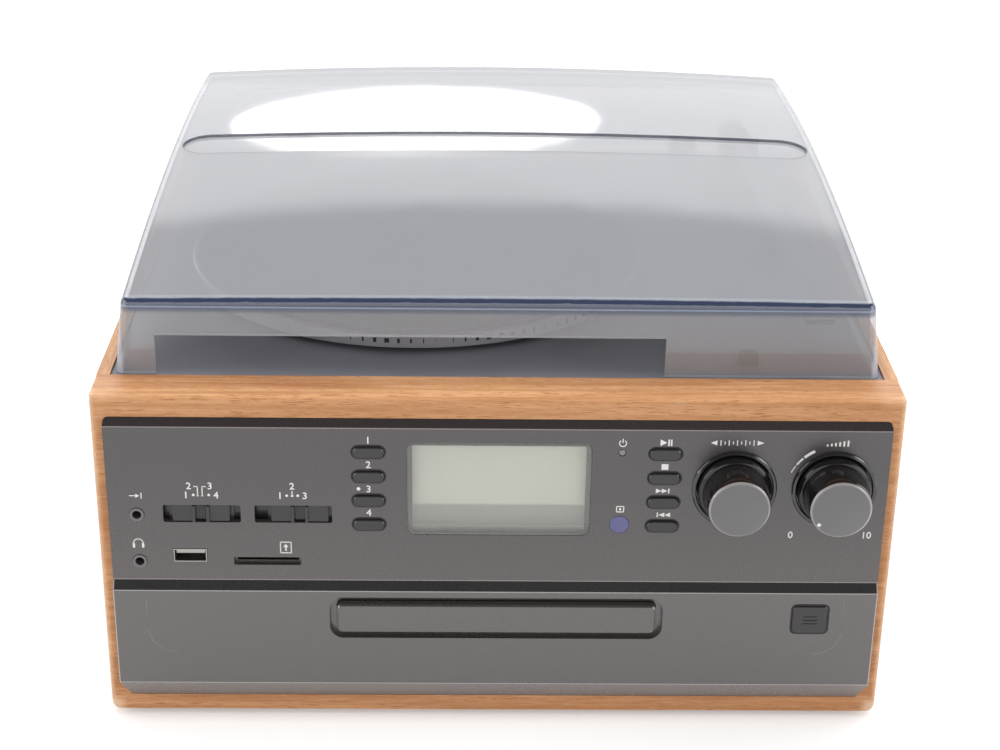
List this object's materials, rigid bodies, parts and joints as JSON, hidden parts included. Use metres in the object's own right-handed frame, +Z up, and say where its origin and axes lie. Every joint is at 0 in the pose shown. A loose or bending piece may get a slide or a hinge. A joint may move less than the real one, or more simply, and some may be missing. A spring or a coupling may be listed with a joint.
{
  "type": "stereo music centre",
  "caption": "Wooden stereo music centre with a front of dials, buttons and display, a disc drawer, and a record deck under an arched smoky lid.",
  "frame": {"origin": "on the floor under the feet, below the middle of the overall box", "axes": "+X to the right as seen from the front, +Y to the back, +Z up"},
  "size_m": [0.315, 0.3322, 0.1948],
  "materials": {
    "wood_veneer": "satin",
    "wood_board": "plain",
    "foot_rubber": "matte",
    "screw_steel": "plated",
    "panel_black": "satin",
    "clear_window": "clear",
    "display_grey": "matte",
    "ir_blue": "gloss",
    "lamp_lens": "gloss",
    "socket_steel": "plain",
    "jack_black": "gloss",
    "bezel_black": "gloss",
    "control_steel": "plain",
    "circuit_board": "satin",
    "button_black": "satin",
    "tray_black": "matte",
    "chassis_steel": "plain",
    "deck_grey": "fine texture",
    "platter_aluminium": "satin",
    "mat_rubber": "matte",
    "spindle_chrome": "polished",
    "motor_steel": "plain",
    "pulley_brass": "plain",
    "belt_rubber": "matte",
    "arm_black": "satin",
    "arm_silver": "satin",
    "cartridge_black": "satin",
    "smoky_lid": "clear gloss",
    "hinge_black": "satin",
    "speaker_black": "matte",
    "grille_black": "matte",
    "transformer_steel": "varnished",
    "terminal_black": "satin",
    "knob_black": "gloss",
    "shaft_steel": "plain"
  },
  "bodies": {
    "cabinet": {"front_frame": "wood_veneer", "side_board_left": "wood_veneer", "side_board_right": "wood_veneer", "base_board": "wood_board", "back_board": "wood_board", "feet": "foot_rubber", "screws": "screw_steel", "control_panel": "panel_black", "cd_panel": "panel_black", "lcd_window": "clear_window", "lcd_module": "display_grey", "ir_window": "ir_blue", "power_led": "lamp_lens", "usb_socket": "socket_steel", "card_socket": "socket_steel", "audio_jacks": "jack_black", "knob_bezels": "bezel_black", "control_bodies": "control_steel", "front_circuit_board": "circuit_board", "cd_chassis": "chassis_steel", "deck_plate": "deck_grey", "platter_motor": "motor_steel", "drive_belt": "belt_rubber", "tonearm_base": "arm_black", "arm_rest": "arm_black", "lid_hinges": "hinge_black", "speakers": "speaker_black", "speaker_grilles": "grille_black", "main_board": "circuit_board", "power_transformer": "transformer_steel", "terminal_panel": "terminal_black", "rear_sockets": "terminal_black"},
    "lid": {"lid": "smoky_lid"},
    "platter": {"platter": "platter_aluminium", "platter_mat": "mat_rubber", "platter_spindle": "spindle_chrome"},
    "pulley": {"motor_pulley": "pulley_brass"},
    "arm_yoke": {"tonearm_yoke": "arm_black"},
    "arm": {"tonearm": "arm_silver", "cartridge": "cartridge_black"},
    "cue_lever": {"cue_lever": "shaft_steel"},
    "arm_lifter": {"arm_lifter": "arm_black"},
    "disc_drawer": {"cd_tray": "tray_black", "cd_door": "panel_black"},
    "tuning_knob": {"tuning_knob": "knob_black", "tuning_shaft": "shaft_steel"},
    "volume_knob": {"volume_knob": "knob_black", "volume_shaft": "shaft_steel"},
    "function_switch": {"function_switch_cap": "button_black"},
    "band_switch": {"band_switch_cap": "button_black"},
    "speed_switch": {"speed_switch": "arm_black"},
    "cd_open_button": {"cd_open_button": "button_black"},
    "mode_button": {"mode_button": "button_black"},
    "program_button": {"program_button": "button_black"},
    "record_button": {"record_button": "button_black"},
    "delete_button": {"delete_button": "button_black"},
    "play_button": {"play_button": "button_black"},
    "stop_button": {"stop_button": "button_black"},
    "forward_button": {"forward_button": "button_black"},
    "back_button": {"back_button": "button_black"}
  },
  "joints": [
    {"name": "lid_hinge", "type": "hinge", "parent": "cabinet", "child": "lid", "pos_m": [0, 0.1606, 0.15], "axis": [-1, 0, 0], "range_deg": [0, 65]},
    {"name": "platter_spin", "type": "hinge", "parent": "cabinet", "child": "platter", "pos_m": [-0.0345, 0.0006, 0.1455], "axis": [0, 0, 1], "continuous": true},
    {"name": "pulley_spin", "type": "hinge", "parent": "cabinet", "child": "pulley", "pos_m": [0.0025, 0.06469, 0.1463], "axis": [0, 0, 1], "continuous": true},
    {"name": "tonearm_swing", "type": "hinge", "parent": "cabinet", "child": "arm_yoke", "pos_m": [0.1224, 0.1126, 0.1545], "axis": [0, 0, -1], "range_deg": [0, 42]},
    {"name": "tonearm_lift", "type": "hinge", "parent": "arm_yoke", "child": "arm", "pos_m": [0.1224, 0.1126, 0.1635], "axis": [-0.9994, -0.0349, 0], "range_deg": [0, 2.09]},
    {"name": "cue_lever_turn", "type": "hinge", "parent": "cabinet", "child": "cue_lever", "pos_m": [0.11622, 0.09358, 0.1488], "axis": [-0.9994, -0.0349, 0], "range_deg": [0, 60]},
    {"name": "lifter_rise", "type": "slide", "parent": "cabinet", "child": "arm_lifter", "axis": [0, 0, 1], "range_m": [0, 0.00079]},
    {"name": "drawer_slide", "type": "slide", "parent": "cabinet", "child": "disc_drawer", "axis": [0, -1, 0], "range_m": [0, 0.13]},
    {"name": "tuning_turn", "type": "hinge", "parent": "cabinet", "child": "tuning_knob", "pos_m": [0.09215, -0.1484, 0.108], "axis": [0, 1, 0], "range_deg": [-135, 135]},
    {"name": "volume_turn", "type": "hinge", "parent": "cabinet", "child": "volume_knob", "pos_m": [0.13115, -0.1484, 0.108], "axis": [0, 1, 0], "range_deg": [0, 300]},
    {"name": "function_slide", "type": "slide", "parent": "cabinet", "child": "function_switch", "axis": [1, 0, 0], "range_m": [-0.0035, 0.0043]},
    {"name": "band_slide", "type": "slide", "parent": "cabinet", "child": "band_switch", "axis": [1, 0, 0], "range_m": [-0.0064, 0.0014]},
    {"name": "speed_slide", "type": "slide", "parent": "cabinet", "child": "speed_switch", "axis": [1, 0, 0], "range_m": [-0.0035, 0.0035]},
    {"name": "mode_press", "type": "slide", "parent": "cabinet", "child": "mode_button", "axis": [0, 1, 0], "range_m": [0, 0.001], "stiffness_N_per_m": 500, "springref_m": -0.001},
    {"name": "program_press", "type": "slide", "parent": "cabinet", "child": "program_button", "axis": [0, 1, 0], "range_m": [0, 0.001], "stiffness_N_per_m": 500, "springref_m": -0.001},
    {"name": "record_press", "type": "slide", "parent": "cabinet", "child": "record_button", "axis": [0, 1, 0], "range_m": [0, 0.001], "stiffness_N_per_m": 500, "springref_m": -0.001},
    {"name": "delete_press", "type": "slide", "parent": "cabinet", "child": "delete_button", "axis": [0, 1, 0], "range_m": [0, 0.001], "stiffness_N_per_m": 500, "springref_m": -0.001},
    {"name": "play_press", "type": "slide", "parent": "cabinet", "child": "play_button", "axis": [0, 1, 0], "range_m": [0, 0.001], "stiffness_N_per_m": 500, "springref_m": -0.001},
    {"name": "stop_press", "type": "slide", "parent": "cabinet", "child": "stop_button", "axis": [0, 1, 0], "range_m": [0, 0.001], "stiffness_N_per_m": 500, "springref_m": -0.001},
    {"name": "forward_press", "type": "slide", "parent": "cabinet", "child": "forward_button", "axis": [0, 1, 0], "range_m": [0, 0.001], "stiffness_N_per_m": 500, "springref_m": -0.001},
    {"name": "back_press", "type": "slide", "parent": "cabinet", "child": "back_button", "axis": [0, 1, 0], "range_m": [0, 0.001], "stiffness_N_per_m": 500, "springref_m": -0.001},
    {"name": "cd_open_press", "type": "slide", "parent": "cabinet", "child": "cd_open_button", "axis": [0, 1, 0], "range_m": [0, 0.001], "stiffness_N_per_m": 500, "springref_m": -0.001}
  ],
  "couplings": [
    {"joint": "pulley_spin", "follows": "platter_spin", "ratio": 13.043},
    {"joint": "tonearm_lift", "follows": "cue_lever_turn", "ratio": 0.03309},
    {"joint": "lifter_rise", "follows": "cue_lever_turn", "m_per_rad": 0.0006616}
  ]
}
